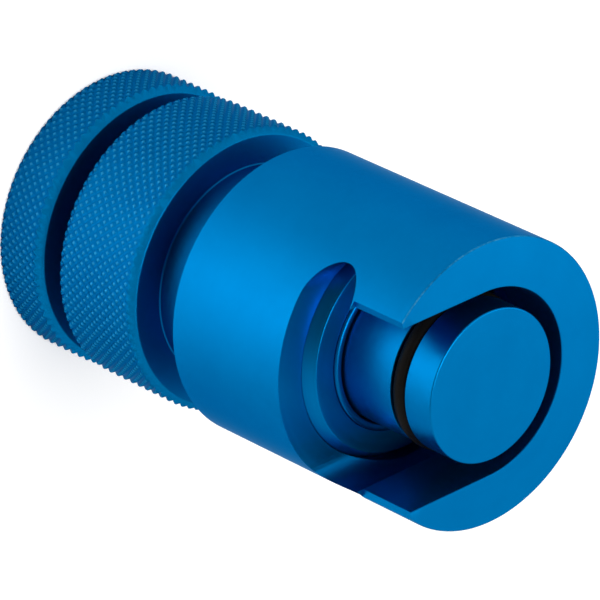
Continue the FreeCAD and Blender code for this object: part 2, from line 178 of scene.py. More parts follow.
housingLow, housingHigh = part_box("housing")
clampLow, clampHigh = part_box("clamp_knob")
ringLow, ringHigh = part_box("pressure_ring")
plungerLow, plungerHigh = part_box("plunger")
sealLow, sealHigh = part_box("seal_ring")
rearLow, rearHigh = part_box("rear_knob")
bodyRadius = housingHigh.x


# Materials

noiseSpan = (0.3, 0.7)   # where nearly all of a noise's values lie


def newMaterial(name):
    material = bpy.data.materials.new(name)
    material.use_nodes = True
    nodes = material.node_tree.nodes
    shader = nodes["Principled BSDF"]
    return material, nodes, material.node_tree.links, shader


def noiseOn(nodes, links, vector, scale, detail, roughness):
    noise = nodes.new("ShaderNodeTexNoise")
    noise.inputs["Scale"].default_value = scale
    noise.inputs["Detail"].default_value = detail
    noise.inputs["Roughness"].default_value = roughness
    links.new(vector, noise.inputs["Vector"])
    return noise.outputs["Fac"]


def objectPlace(nodes):
    return nodes.new("ShaderNodeTexCoord").outputs["Object"]


def turnedPlace(nodes, links, place):
    # distance from the axis and height, so that marks run round the piece as a lathe leaves them
    parts = nodes.new("ShaderNodeSeparateXYZ")
    flat = nodes.new("ShaderNodeCombineXYZ")
    length = nodes.new("ShaderNodeVectorMath")
    length.operation = "LENGTH"
    turned = nodes.new("ShaderNodeCombineXYZ")
    links.new(place, parts.inputs[0])
    links.new(parts.outputs["X"], flat.inputs["X"])
    links.new(parts.outputs["Y"], flat.inputs["Y"])
    links.new(flat.outputs[0], length.inputs[0])
    links.new(length.outputs["Value"], turned.inputs["X"])
    links.new(parts.outputs["Z"], turned.inputs["Y"])
    return turned.outputs[0]


def mapTo(nodes, links, value, low, high, fromLow=noiseSpan[0], fromHigh=noiseSpan[1]):
    spread = nodes.new("ShaderNodeMapRange")
    spread.inputs["From Min"].default_value = fromLow
    spread.inputs["From Max"].default_value = fromHigh
    spread.inputs["To Min"].default_value = low
    spread.inputs["To Max"].default_value = high
    links.new(value, spread.inputs["Value"])
    return spread.outputs["Result"]


def blendColours(nodes, links, value, first, second):
    ramp = nodes.new("ShaderNodeValToRGB")
    for element, position, colour in zip(ramp.color_ramp.elements, noiseSpan, (first, second)):
        element.position = position
        element.color = (*colour, 1)
    links.new(value, ramp.inputs["Fac"])
    return ramp.outputs["Color"]


def addBump(nodes, links, height, distance, under=None):
    bump = nodes.new("ShaderNodeBump")
    bump.inputs["Distance"].default_value = distance
    bump.inputs["Strength"].default_value = 1.0
    links.new(height, bump.inputs["Height"])
    if under is not None:
        links.new(under, bump.inputs["Normal"])
    return bump.outputs["Normal"]


def rimWearAndLightMask(nodes, links, place, turned, finish):
    # 1 near a circle round the axis, fading out over its reach and broken up by specks; the paler colour
    # laid there is partly worn specks and partly painted light along the edge
    offset = nodes.new("ShaderNodeVectorMath")
    offset.operation = "DISTANCE"
    offset.inputs[1].default_value = (*finish["rim"], 0)
    links.new(turned, offset.inputs[0])
    near = mapTo(nodes, links, offset.outputs["Value"], 1.0, 0.0, *finish["rimReach"])
    patches = noiseOn(nodes, links, place, *finish["specks"])
    patches = mapTo(nodes, links, patches, *finish["speckLevels"], *finish["speckSpan"])
    product = nodes.new("ShaderNodeMath")
    product.operation = "MULTIPLY"
    links.new(near, product.inputs[0])
    links.new(patches, product.inputs[1])
    return product.outputs[0]


def crestMask(nodes, links, turned, crestHeight):
    # 1 on the crests of a knurl, fading out down its flanks; the crests are painted paler there, worn
    # metal plus a painted highlight
    parts = nodes.new("ShaderNodeSeparateXYZ")
    links.new(turned, parts.inputs[0])
    return mapTo(nodes, links, parts.outputs["X"], 0.0, 1.0, bodyRadius - crestHeight, bodyRadius)


def mixBy(nodes, links, factor, kind, first, second):
    mix = nodes.new("ShaderNodeMix")
    mix.data_type = kind
    suffix = {"RGBA": "Color", "FLOAT": "Float"}[kind]
    inputs = {socket.identifier: socket for socket in mix.inputs}
    outputs = {socket.identifier: socket for socket in mix.outputs}
    links.new(factor, inputs["Factor_Float"])
    links.new(first, inputs["A_" + suffix])
    inputs["B_" + suffix].default_value = second
    return outputs["Result_" + suffix]


# each noise is given by its scale, detail and roughness
satinBlue = {
    "paleDye": (0.0, 0.205, 0.53),
    "deepDye": (0.0, 0.19, 0.50),
    "edgeTint": (0.25, 0.5, 0.7),
    "clouds": (160.0, 3.0, 0.6),
    "grain": (9000.0, 1.0, 0.5),
    "grainDepth": 0.004 * mm,
    "toolMarks": (5200.0, 2.0, 0.7),
    "toolMarkDepth": 0.002 * mm,
    "roughness": (0.34, 0.42),
    # rim: a paler, rougher edge colour, partly worn specks and partly a painted highlight line
    "rim": None,
    "rimReach": (0.065 * mm, 0.13 * mm),
    "rimWearAndPaintedLight": (0.06, 0.34, 0.6),
    "rimRoughness": 0.6,
    "specks": (900.0, 4.0, 0.7),
    "speckSpan": (0.45, 0.62),
    "speckLevels": (0.15, 1.0),
    "crestHeight": None,
}


def satinAnodised(name, finish):
    material, nodes, links, shader = newMaterial(name)
    place = objectPlace(nodes)
    turned = turnedPlace(nodes, links, place)
    clouds = noiseOn(nodes, links, place, *finish["clouds"])
    grain = noiseOn(nodes, links, place, *finish["grain"])
    toolMarks = noiseOn(nodes, links, turned, *finish["toolMarks"])
    colour = blendColours(nodes, links, clouds, finish["deepDye"], finish["paleDye"])
    roughness = mapTo(nodes, links, toolMarks, *finish["roughness"])
    if finish["crestHeight"]:
        # paler crests: worn metal plus a painted highlight on the crest tips
        crest = crestMask(nodes, links, turned, finish["crestHeight"])
        colour = mixBy(nodes, links, crest, "RGBA", colour, (*finish["crestWearAndHighlightColour"], 1))
    # near the rim the colour is made paler: worn specks together with a painted highlight
    if finish["rim"]:
        rim = rimWearAndLightMask(nodes, links, place, turned, finish)
        colour = mixBy(nodes, links, rim, "RGBA", colour, (*finish["rimWearAndPaintedLight"], 1))
        roughness = mixBy(nodes, links, rim, "FLOAT", roughness, finish["rimRoughness"])
    links.new(colour, shader.inputs["Base Color"])
    links.new(roughness, shader.inputs["Roughness"])
    marks = addBump(nodes, links, toolMarks, finish["toolMarkDepth"])
    links.new(addBump(nodes, links, grain, finish["grainDepth"], marks), shader.inputs["Normal"])
    shader.inputs["Metallic"].default_value = 1.0
    shader.inputs["Specular Tint"].default_value = (*finish["edgeTint"], 1)
    return material


# the knobs: paler crests on the knurl, worn metal plus a painted highlight on their tips, and front
# chamfers duller than the rest and painted lighter, a painted sheen
knobBlue = {
    **satinBlue,
    "paleDye": (0.0, 0.165, 0.44),
    "deepDye": (0.0, 0.145, 0.41),
    # crests painted paler: worn metal plus a painted highlight on the crest tips
    "crestHeight": 0.12 * mm,
    "crestWearAndHighlightColour": (0.025, 0.295, 0.59),
    "roughness": (0.38, 0.46),
    "rimOffset": 0.2 * mm,
    "rimReach": (0.97 * mm, 1.1 * mm),
    # the chamfer's colour is lighter than the knob's dye: painted light, with only faint specks
    "rimWearAndPaintedLight": (0.0, 0.24, 0.55),
    "rimRoughness": 0.62,
    "speckLevels": (0.8, 1.0),
}


def knobMaterial(name, faceHeight):
    # the front chamfer lies within reach of a circle just outside it, and is painted lighter there as a
    # painted sheen
    offset = knobBlue["rimOffset"]
    return satinAnodised(name, {**knobBlue, "rim": (bodyRadius + offset, faceHeight + offset)})


moulded = {
    "black": (0.004, 0.0035, 0.003),
    "grey": (0.008, 0.0065, 0.005),
    "bloom": (700.0, 3.0, 0.5),
    "skin": (14000.0, 1.0, 0.5),
    "skinDepth": 0.006 * mm,
    "roughness": (0.45, 0.6),
    "shine": 0.08,
}


def mouldedRubber(name, finish):
    material, nodes, links, shader = newMaterial(name)
    place = objectPlace(nodes)
    bloom = noiseOn(nodes, links, place, *finish["bloom"])
    skin = noiseOn(nodes, links, place, *finish["skin"])
    colour = blendColours(nodes, links, bloom, finish["black"], finish["grey"])
    links.new(colour, shader.inputs["Base Color"])
    links.new(mapTo(nodes, links, bloom, *finish["roughness"]), shader.inputs["Roughness"])
    links.new(addBump(nodes, links, skin, finish["skinDepth"]), shader.inputs["Normal"])
    shader.inputs["Specular IOR Level"].default_value = finish["shine"]
    return material


springSteel = {
    "pale": (0.6, 0.6, 0.61),
    "deep": (0.48, 0.48, 0.49),
    "patches": (400.0, 3.0, 0.5),
    "lines": (7000.0, 2.0, 0.5),
    "lineDepth": 0.003 * mm,
    "roughness": (0.22, 0.34),
    "metallic": 1.0,
}

zincPlate = {
    **springSteel,
    "pale": (0.56, 0.56, 0.57),
    "deep": (0.44, 0.44, 0.45),
    "lines": (5000.0, 2.0, 0.5),
    "roughness": (0.28, 0.42),
}

turnedAcetal = {
    **springSteel,
    "pale": (0.86, 0.85, 0.81),
    "deep": (0.78, 0.77, 0.72),
    "patches": (300.0, 3.0, 0.5),
    "lines": (6000.0, 2.0, 0.5),
    "roughness": (0.4, 0.55),
    "metallic": 0.0,
}


def linedFinish(name, finish):
    # patches of two shades under fine lines that run round the axis
    material, nodes, links, shader = newMaterial(name)
    place = objectPlace(nodes)
    patches = noiseOn(nodes, links, place, *finish["patches"])
    lines = noiseOn(nodes, links, turnedPlace(nodes, links, place), *finish["lines"])
    colour = blendColours(nodes, links, patches, finish["deep"], finish["pale"])
    links.new(colour, shader.inputs["Base Color"])
    links.new(mapTo(nodes, links, lines, *finish["roughness"]), shader.inputs["Roughness"])
    links.new(addBump(nodes, links, lines, finish["lineDepth"]), shader.inputs["Normal"])
    shader.inputs["Metallic"].default_value = finish["metallic"]
    return material


blueBody = satinAnodised("satinBlueBody", satinBlue)
# the housing's front outer edge: worn specks plus a painted highlight line along its small bevel
blueHousing = satinAnodised("satinBlueHousing", {**satinBlue, "rim": (bodyRadius, housingHigh.z)})
blueSpigot = satinAnodised("satinBlueSpigot", {**satinBlue, "roughness": (0.31, 0.37)})
blackRubber = mouldedRubber("blackSealRubber", moulded)
springWire = linedFinish("springWire", springSteel)
platedScrew = linedFinish("platedScrew", zincPlate)
acetal = linedFinish("naturalAcetal", turnedAcetal)
print("materials made")


# Housing: a turned sleeve with the side slot, the bead groove and the mouth chamfers cut in

sleeve = {
    "threadBore": 13.05 * mm,
    "ringBore": 12.05 * mm,
    "boreShoulder": 17.2 * mm,
    "edge": 0.1 * mm,
    "halfSlot": 9.85 * mm,
    "lip": 6.7 * mm,
    "grooveWidth": 6.7 * mm,
    "grooveReach": 12.55 * mm,
    "mouthChamfer": 0.8 * mm,
    "mouthReach": 0.97 * mm,
    "slotEdge": 0.15 * mm,
    "slotEdgeIn": 0.5 * mm,
    "brokenEdge": 0.04 * mm,
    "lipStock": 2 * mm,
    "lowLoop": 8 * mm,
    "chamferUnder": 0.05 * mm,
    "sides": 256,
    "slotSides": 128,
    "grooveSides": 96,
    "grooveSteps": 24,
}


def cutSlot(name, halfWidth, low, high, reach):
    # half a circle about the axis, its ends drawn out towards -Y, filled and raised
    startClean()
    bpy.ops.mesh.primitive_circle_add(vertices=sleeve["slotSides"], radius=halfWidth, location=(0, 0, low))
    tool = newPiece(name)
    openPiece(tool)
    pick(tool, "verts", lambda vertex: vertex.co.y < -touch)
    bpy.ops.mesh.delete(type="VERT")
    pick(tool, "verts", lambda vertex: vertex.co.y < touch)
    bpy.ops.mesh.extrude_vertices_move(TRANSFORM_OT_translate={"value": (0, -reach, 0)})
    bpy.ops.mesh.select_all(action="SELECT")
    bpy.ops.mesh.edge_face_add()
    bpy.ops.mesh.select_all(action="SELECT")
    bpy.ops.mesh.extrude_region_move(TRANSFORM_OT_translate={"value": (0, 0, high - low)})
    closePiece()
    tidyShell(tool)
    return tool


def cutGrooveMouth(name, endCentre, endRadius, middle, reach):
    # two half circles facing away from each other, bridged and drawn out towards -Y
    startClean()
    bpy.ops.mesh.primitive_circle_add(vertices=sleeve["grooveSides"], radius=endRadius,
                                      rotation=(math.radians(90), 0, 0))
    tool = newPiece(name)
    openPiece(tool)
    pick(tool, "verts", lambda vertex: vertex.co.x < -touch)
    bpy.ops.mesh.delete(type="VERT")
    bpy.ops.mesh.select_all(action="SELECT")
    bpy.ops.transform.translate(value=(endCentre, 0, middle))
    bpy.ops.mesh.duplicate()
    bpy.ops.transform.rotate(value=math.pi, orient_axis="Y", center_override=(0, 0, middle))
    bpy.ops.mesh.select_mode(type="EDGE")
    bpy.ops.mesh.select_all(action="SELECT")
    bpy.ops.mesh.bridge_edge_loops()
    bpy.ops.mesh.select_all(action="SELECT")
    bpy.ops.mesh.extrude_region_move(TRANSFORM_OT_translate={"value": (0, -reach, 0)})
    closePiece()
    tidyShell(tool)
    return tool


def cutMouthChamfer(name, side, low, high):
    # a block whose inner face lies on the chamfer, past the edge where the slot meets the outside
    edgeAngle = math.asin(sleeve["halfSlot"] / bodyRadius)
    onSlot = Vector((sleeve["halfSlot"], -bodyRadius * math.cos(edgeAngle) + sleeve["mouthChamfer"], 0))
    outAngle = edgeAngle + sleeve["mouthReach"] / bodyRadius
    onOutside = Vector((bodyRadius * math.sin(outAngle), -bodyRadius * math.cos(outAngle), 0))
    along = (onOutside - onSlot).normalized()
    outwards = Vector((along.y, -along.x, 0))
    if outwards.dot(Vector((0, -1, 0))) < 0:
        outwards = -outwards
    size = 4 * mm
    centre = (onSlot + onOutside) / 2 + outwards * size / 2
    turn = math.atan2(along.y, along.x)
    startClean()
    bpy.ops.mesh.primitive_cube_add(size=size, location=(side * centre.x, centre.y, (low + high) / 2),
                                    rotation=(0, 0, side * turn))
    tool = newPiece(name)
    openPiece(tool)
    pick(tool, "verts", lambda vertex: True)
    bpy.ops.transform.resize(value=(1, 1, (high - low) / size), center_override=(0, 0, (low + high) / 2))
    closePiece()
    return tool


def arcPoints(centreRadius, centreHeight, radius, first, last, steps):
    points = []
    for step in range(steps + 1):
        angle = math.radians(first + (last - first) * step / steps)
        points.append((centreRadius + radius * math.cos(angle), centreHeight + radius * math.sin(angle)))
    return points


def makeHousing():
    low, high = housingLow.z, housingHigh.z
    edge = sleeve["edge"]
    outer = bodyRadius
    grooveTop = high - sleeve["lip"]
    grooveRadius = sleeve["grooveWidth"] / 2
    middle = grooveTop - grooveRadius
    endCentre = sleeve["grooveReach"] - grooveRadius
    housing = turnPiece("housingSleeve", [
        (sleeve["threadBore"], low),
        (outer - edge, low),
        (outer, low + edge),
        (outer, low + sleeve["lowLoop"]),
        (outer, middle),
        (outer, high - edge),
        (outer - edge, high),
        (sleeve["halfSlot"] - sleeve["lipStock"], high),
        (sleeve["halfSlot"] - sleeve["lipStock"], middle),
        (sleeve["ringBore"], middle),
        (sleeve["ringBore"], high - sleeve["boreShoulder"]),
        (sleeve["threadBore"], high - sleeve["boreShoulder"]),
    ], sides=sleeve["sides"])
    reach = 2 * outer
    machine(housing, cutSlot("slotTool", sleeve["halfSlot"], middle, high + toolOver, reach))
    grooveOutline = arcPoints(endCentre, middle, grooveRadius, -90, 90, sleeve["grooveSteps"])
    puck = turnPiece("grooveTool", grooveOutline, sleeve["sides"], hollow=False)
    machine(housing, puck)
    machine(housing, cutGrooveMouth("mouthTool", endCentre, grooveRadius, middle, reach))
    for side in (-1, 1):
        machine(housing, cutMouthChamfer("chamferTool", side, grooveTop - sleeve["chamferUnder"],
                                         high + toolOver))
    tidyShell(housing)
    openPiece(housing)
    # the slot's own edge on the front face, short of the mouth
    pick(housing, "edges", lambda edge: all(abs(v.co.z - high) < touch and
                                            abs(v.co.x) < sleeve["halfSlot"] + touch and
                                            v.co.xy.length < outer - sleeve["slotEdgeIn"]
                                            for v in edge.verts))
    bpy.ops.mesh.bevel(offset=sleeve["slotEdge"], segments=3)
    closePiece()
    breakEdges(housing, sleeve["brokenEdge"])
    dress(housing, "housing", "housing", blueHousing)
    return housing


housing = makeHousing()
print("housing made,", len(housing.data.polygons), "faces")


# Knurl of both knobs: one diamond, laid round and up the knob, and closed to a blank

knurl = {
    "starts": 87,
    "helixAngle": 44.3,
    "depth": 0.28 * mm,
    "flankWidth": 0.27 * mm,
    "flankRise": 0.25 * mm,
    "crestWidth": 0.05 * mm,
    "rowsBelow": 1.5,
    "over": 0.7 * mm,
    "weld": 0.002 * mm,
}


def boundaryLoop(piece, height):
    pick(piece, "edges", lambda edge: edge.is_boundary and
         all(abs(v.co.z - height) < 10 * touch for v in edge.verts))


def makeKnurlBlank(name, low, high, stemRadius=0.0, stemHigh=0.0):
    root = bodyRadius - knurl["depth"]
    halfStep = math.pi / knurl["starts"]
    halfWidth = root * math.sin(halfStep)
    cellHeight = 2 * math.pi * bodyRadius / knurl["starts"] / math.tan(math.radians(knurl["helixAngle"]))
    start = low - knurl["rowsBelow"] * cellHeight
    rows = math.ceil((high - start) / cellHeight) + 1
    startClean()
    bpy.ops.mesh.primitive_circle_add(vertices=4, radius=1 * mm, fill_type="NGON",
                                      location=(root, 0, start), rotation=(0, math.radians(90), 0))
    blank = newPiece(name)
    openPiece(blank)
    bpy.ops.mesh.select_all(action="SELECT")
    bpy.ops.transform.resize(value=(1, halfWidth / mm, cellHeight / 2 / mm),
                             center_override=(root, 0, start))
    pick(blank, "verts", lambda vertex: abs(vertex.co.y) > 0.1 * mm)
    bpy.ops.transform.translate(value=(-root * (1 - math.cos(halfStep)), 0, 0))
    bpy.ops.mesh.select_mode(type="FACE")
    bpy.ops.mesh.select_all(action="SELECT")
    bpy.ops.mesh.inset(thickness=knurl["flankWidth"], depth=knurl["flankRise"])
    bpy.ops.mesh.inset(thickness=knurl["crestWidth"], depth=knurl["depth"] - knurl["flankRise"])
    bpy.ops.mesh.select_all(action="SELECT")
    bpy.ops.mesh.duplicate()
    bpy.ops.transform.rotate(value=halfStep, orient_axis="Z", center_override=(0, 0, 0))
    bpy.ops.transform.translate(value=(0, 0, cellHeight / 2))
    bpy.ops.mesh.select_all(action="SELECT")
    copies = knurl["starts"] - 1
    bpy.ops.mesh.spin(steps=copies, dupli=True, angle=2 * math.pi * copies / knurl["starts"],
                      center=(0, 0, 0), axis=(0, 0, 1))
    closePiece()
    useModifier(blank, "ARRAY", count=rows, use_relative_offset=False, use_constant_offset=True,
                constant_offset_displace=(0, 0, cellHeight))
    tidyShell(blank, knurl["weld"])
    openPiece(blank)
    trimBetween(low, high)
    boundaryLoop(blank, low)
    bpy.ops.mesh.edge_face_add()
    boundaryLoop(blank, high)
    if stemRadius:
        ringTo(stemRadius, high, bodyRadius, high)
        ringTo(stemRadius, stemHigh, stemRadius, high)
    bpy.ops.mesh.edge_face_add()
    closePiece()
    tidyShell(blank)
    return blank


# Screw threads: one tooth's outline swept up a right-hand helix and closed to a blank

# depth and crest as shares of the lead, flanks in degrees from square
thread = {"depth": 0.61, "crest": 0.125, "flank": 30, "turnsBelow": 2, "steps": 96}


def makeThreadBlank(name, crest, lead, low, high, wideRadius, wideLow, wideHigh):
    depth = thread["depth"] * lead
    flank = depth * math.tan(math.radians(thread["flank"]))
    flat = thread["crest"] * lead
    rest = lead - 2 * flank - flat
    outline = [(crest - depth, 0), (crest - depth, rest), (crest, rest + flank),
               (crest, rest + flank + flat), (crest - depth, lead)]
    start = low - thread["turnsBelow"] * lead
    turns = math.ceil((high - start) / lead) + 1
    startClean()
    bpy.ops.mesh.primitive_circle_add(vertices=3, radius=0.1 * mm, location=(outline[0][0], 0, start))
    blank = newPiece(name)
    openPiece(blank)
    bpy.ops.mesh.select_mode(type="VERT")
    bpy.ops.mesh.select_all(action="SELECT")
    bpy.ops.mesh.merge(type="CENTER")
    for (radius, height), (nextRadius, nextHeight) in zip(outline, outline[1:]):
        bpy.ops.mesh.extrude_vertices_move(
            TRANSFORM_OT_translate={"value": (nextRadius - radius, 0, nextHeight - height)})
    closePiece()
    useModifier(blank, "SCREW", angle=2 * math.pi, screw_offset=lead, iterations=turns,
                steps=thread["steps"], render_steps=thread["steps"], axis="Z",
                use_merge_vertices=True, merge_threshold=touch)
    tidyShell(blank)
    openPiece(blank)
    trimBetween(low, high)
    for level, end in ((low, wideLow), (high, wideHigh)):
        boundaryLoop(blank, level)
        if abs(end - level) > touch:
            ringTo(wideRadius, level, crest, level)
            ringTo(wideRadius, end, wideRadius, level)
        bpy.ops.mesh.edge_face_add()
    closePiece()
    tidyShell(blank)
    return blank


# Clamp knob: knurled ring, neck, clamp screw, boss and nose

clampSizes = {
    "nutBore": 7.05 * mm,
    "guideBore": 8.0 * mm,
    "reliefBore": 8.2 * mm,
    "nutLength": 5.4 * mm,
    "reliefDepth": 7.5 * mm,
    "ringLength": 10.95 * mm,
    "frontChamfer": 0.75 * mm,
    "rearChamfer": 0.15 * mm,
    "neck": 11.2 * mm,
    "neckFillet": 0.2 * mm,
    "neckLength": 6.55 * mm,
    "threadLength": 6.5 * mm,
    "threadCrest": 13.0 * mm,
    "threadLead": 1.5 * mm,
    "boss": 10.5 * mm,
    "bossLength": 3.5 * mm,
    "snapHalf": 0.6 * mm,
    "nose": 8.875 * mm,
    "noseRound": 0.3 * mm,
    "brokenEdge": 0.05 * mm,
    "threadRunIn": 1 * mm,
    "threadRunOut": 0.6 * mm,
    "threadUnder": 0.05 * mm,
    "threadShort": 0.15 * mm,
    "threadStock": 17 * mm,
    "knurlStem": 14.2 * mm,
    "sides": 192,
}

blueClampKnob = knobMaterial("satinBlueClampKnob", clampLow.z + clampSizes["ringLength"])


def makeClampKnob():
    low, high = clampLow.z, clampHigh.z
    s = clampSizes
    fillet = s["neckFillet"]
    knurlHigh = low + s["ringLength"]
    threadLow = knurlHigh + s["neckLength"]
    threadHigh = threadLow + s["threadLength"]
    bossHigh = threadHigh + s["bossLength"]
    snapMiddle = (threadHigh + bossHigh) / 2
    snapLow, snapHigh = snapMiddle - s["snapHalf"], snapMiddle + s["snapHalf"]
    guideShoulder = low + s["nutLength"]
    reliefBottom = high - s["reliefDepth"]
    knob = turnPiece("clampKnob", [
        (s["nutBore"], low),
        (bodyRadius - s["rearChamfer"], low),
        (bodyRadius + turnOver, low + s["rearChamfer"] + turnOver),
        (bodyRadius + turnOver, knurlHigh - s["frontChamfer"] - turnOver),
        (bodyRadius - s["frontChamfer"], knurlHigh),
        *arcPoints(s["neck"] + fillet, knurlHigh + fillet, fillet, -90, -180, 4),
        (s["neck"], threadLow),
        (s["threadCrest"] - s["threadRunIn"], threadLow),
        (s["threadCrest"] + turnOver, threadLow + s["threadRunIn"] + turnOver),
        (s["threadCrest"] + turnOver, threadHigh - s["threadRunOut"] - turnOver),
        (s["threadCrest"] - s["threadRunOut"], threadHigh),
        (s["boss"], threadHigh),
        (s["boss"], snapLow),
        (s["boss"] - s["snapHalf"], snapLow),
        (s["boss"] - s["snapHalf"], snapHigh),
        (s["boss"], snapHigh),
        (s["boss"], bossHigh),
        (s["nose"], bossHigh),
        *arcPoints(s["nose"] - s["noseRound"], high - s["noseRound"], s["noseRound"], 0, 90, 5),
        (s["reliefBore"], high),
        (s["reliefBore"], reliefBottom),
        (s["guideBore"], reliefBottom),
        (s["guideBore"], guideShoulder),
        (s["nutBore"], guideShoulder),
    ], sides=s["sides"])
    breakEdges(knob, s["brokenEdge"])
    machine(knob, makeKnurlBlank("knurlTool", low - knurl["over"], knurlHigh + knurl["over"],
                                 s["knurlStem"], high + toolOver), "INTERSECT")
    machine(knob, makeThreadBlank("threadTool", s["threadCrest"], s["threadLead"],
                                  threadLow - s["threadUnder"], threadHigh - s["threadShort"],
                                  s["threadStock"], low - toolOver, high + toolOver), "INTERSECT")
    smoothBy(knob, cutSmooth)
    dress(knob, "clamp_knob", "clamp_knob", blueClampKnob)
    return knob


clampKnob = makeClampKnob()
print("clamp knob made,", len(clampKnob.data.polygons), "faces")


# Rear knob: knurled ring with the screw's countersink and the tail's bore

rearSizes = {
    "frontChamfer": 0.75 * mm,
    "rearChamfer": 0.15 * mm,
    "screwHole": 2.05 * mm,
    "sink": 3.9 * mm,
    "tailBore": 4.05 * mm,
    "tailBoreDepth": 2.5 * mm,
    "brokenEdge": 0.06 * mm,
    "sides": 192,
}

blueRearKnob = knobMaterial("satinBlueRearKnob", rearHigh.z)


def makeRearKnob():
    s = rearSizes
    low, high = rearLow.z, rearHigh.z
    knob = turnPiece("rearKnob", [
        (s["sink"], low),
        (bodyRadius - s["rearChamfer"], low),
        (bodyRadius + turnOver, low + s["rearChamfer"] + turnOver),
        (bodyRadius + turnOver, high - s["frontChamfer"] - turnOver),
        (bodyRadius - s["frontChamfer"], high),
        (s["tailBore"], high),
        (s["tailBore"], high - s["tailBoreDepth"]),
        (s["screwHole"], high - s["tailBoreDepth"]),
        (s["screwHole"], low + s["sink"] - s["screwHole"]),
    ], sides=s["sides"])
    breakEdges(knob, s["brokenEdge"])
    machine(knob, makeKnurlBlank("knurlTool", low - knurl["over"], high + knurl["over"]), "INTERSECT")
    smoothBy(knob, cutSmooth)
    dress(knob, "rear_knob", "plunger", blueRearKnob)
    return knob


rearKnob = makeRearKnob()
print("rear knob made,", len(rearKnob.data.polygons), "faces")


# Pressure ring: chamfered front, nose bore, boss bore with its snap groove

ringSizes = {
    "outer": 12.0 * mm,
    "edge": 0.1 * mm,
    "chamferWidth": 0.8 * mm,
    "chamferHeight": 1.3 * mm,
    "noseBore": 8.925 * mm,
    "bossBore": 10.55 * mm,
    "seatDepth": 5.9 * mm,
    "snapDepth": 8.25 * mm,
    "snapHalf": 0.6 * mm,
    "snapRadius": 11.1 * mm,
    "brokenEdge": 0.06 * mm,
    "sides": 192,
}


def makePressureRing():
    s = ringSizes
    low, high = ringLow.z, ringHigh.z
    seat = high - s["seatDepth"]
    snapMiddle = high - s["snapDepth"]
    ring = turnPiece("pressureRing", [
        (s["bossBore"], low),
        (s["outer"] - s["edge"], low),
        (s["outer"], low + s["edge"]),
        (s["outer"], high - s["chamferHeight"]),
        (s["outer"] - s["chamferWidth"], high),
        (s["noseBore"], high),
        (s["noseBore"], seat),
        (s["bossBore"], seat),
        (s["bossBore"], snapMiddle + s["snapHalf"]),
        (s["snapRadius"], snapMiddle + s["snapHalf"]),
        (s["snapRadius"], snapMiddle - s["snapHalf"]),
        (s["bossBore"], snapMiddle - s["snapHalf"]),
    ], sides=s["sides"])
    breakEdges(ring, s["brokenEdge"])
    dress(ring, "pressure_ring", "pressure_ring", blueBody)
    return ring


pressureRing = makePressureRing()
print("pressure ring made")


# Plunger: head, seal groove, barrel, threaded shank and tail

plungerSizes = {
    "spigot": 7.95 * mm,
    "headChamfer": 0.1 * mm,
    "headLength": 3.6 * mm,
    "sealFloor": 6.15 * mm,
    "seatLength": 2.05 * mm,
    "barrelLength": 21.4 * mm,
    "shoulderChamfer": 0.5 * mm,
    "shank": 7.0 * mm,
    "threadLead": 2.0 * mm,
    "tail": 4.0 * mm,
    "screwHole": 2.05 * mm,
    "screwHoleHigh": 12.5 * mm,
    "brokenEdge": 0.05 * mm,
    "threadRunIn": 0.8 * mm,
    "threadUnder": 0.02 * mm,
    "threadShort": 0.05 * mm,
    "threadStock": 12 * mm,
    "sides": 160,
}


def makePlunger():
    s = plungerSizes
    low, high = plungerLow.z, plungerHigh.z
    headLow = high - s["headLength"]
    sealSeatLow = headLow - s["seatLength"]
    barrelLow = sealSeatLow - s["barrelLength"]
    tailHigh = rearHigh.z
    plunger = turnPiece("plungerSpigot", [
        (s["screwHole"], s["screwHoleHigh"]),
        (s["screwHole"], low),
        (s["tail"], low),
        (s["tail"], tailHigh),
        (s["shank"] - s["threadRunIn"], tailHigh),
        (s["shank"] + turnOver, tailHigh + s["threadRunIn"] + turnOver),
        (s["shank"] + turnOver, barrelLow),
        (s["spigot"] - s["shoulderChamfer"], barrelLow),
        (s["spigot"], barrelLow + s["shoulderChamfer"]),
        (s["spigot"], sealSeatLow),
        (s["sealFloor"], sealSeatLow),
        (s["sealFloor"], headLow),
        (s["spigot"], headLow),
        (s["spigot"], high - s["headChamfer"]),
        (s["spigot"] - s["headChamfer"], high),
    ], sides=s["sides"], hollow=False)
    breakEdges(plunger, s["brokenEdge"])
    machine(plunger, makeThreadBlank("threadTool", s["shank"], s["threadLead"],
                                     tailHigh + s["threadUnder"], barrelLow - s["threadShort"],
                                     s["threadStock"], low - toolOver, high + toolOver), "INTERSECT")
    smoothBy(plunger, cutSmooth)
    dress(plunger, "plunger", "plunger", blueSpigot)
    return plunger


plunger = makePlunger()
print("plunger made,", len(plunger.data.polygons), "faces")


# Seal ring: a round ring with the fine ridge that its mould leaves

seal = {"section": 1.95 * mm, "ridge": 0.012 * mm, "sides": 160, "sectionSides": 48, "smoothAngle": 40}


def makeSealRing():
    middle = (sealLow.z + sealHigh.z) / 2
    centreRadius = sealHigh.x - seal["section"] / 2
    startClean()
    bpy.ops.mesh.primitive_torus_add(major_radius=centreRadius, minor_radius=seal["section"] / 2,
                                     major_segments=seal["sides"], minor_segments=seal["sectionSides"],
                                     location=(0, 0, middle))
    ring = newPiece("sealRing")
    openPiece(ring)
    # the innermost circle is drawn in to the ridge
    pick(ring, "verts", lambda vertex: vertex.co.xy.length < centreRadius and
         abs(vertex.co.z - middle) < touch)
    grow = 1 - seal["ridge"] / centreRadius
    bpy.ops.transform.resize(value=(grow, grow, 1), center_override=(0, 0, middle))
    closePiece()
    smoothBy(ring, seal["smoothAngle"])
    dress(ring, "seal_ring", "seal", blackRubber)
    return ring


sealRing = makeSealRing()
print("seal ring made")


# Small steel and plastic parts keep their CAD shapes and get their finishes

def finishNode(nodeName, material):
    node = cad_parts[nodeName]
    node.data.materials.clear()
    node.data.materials.append(material)


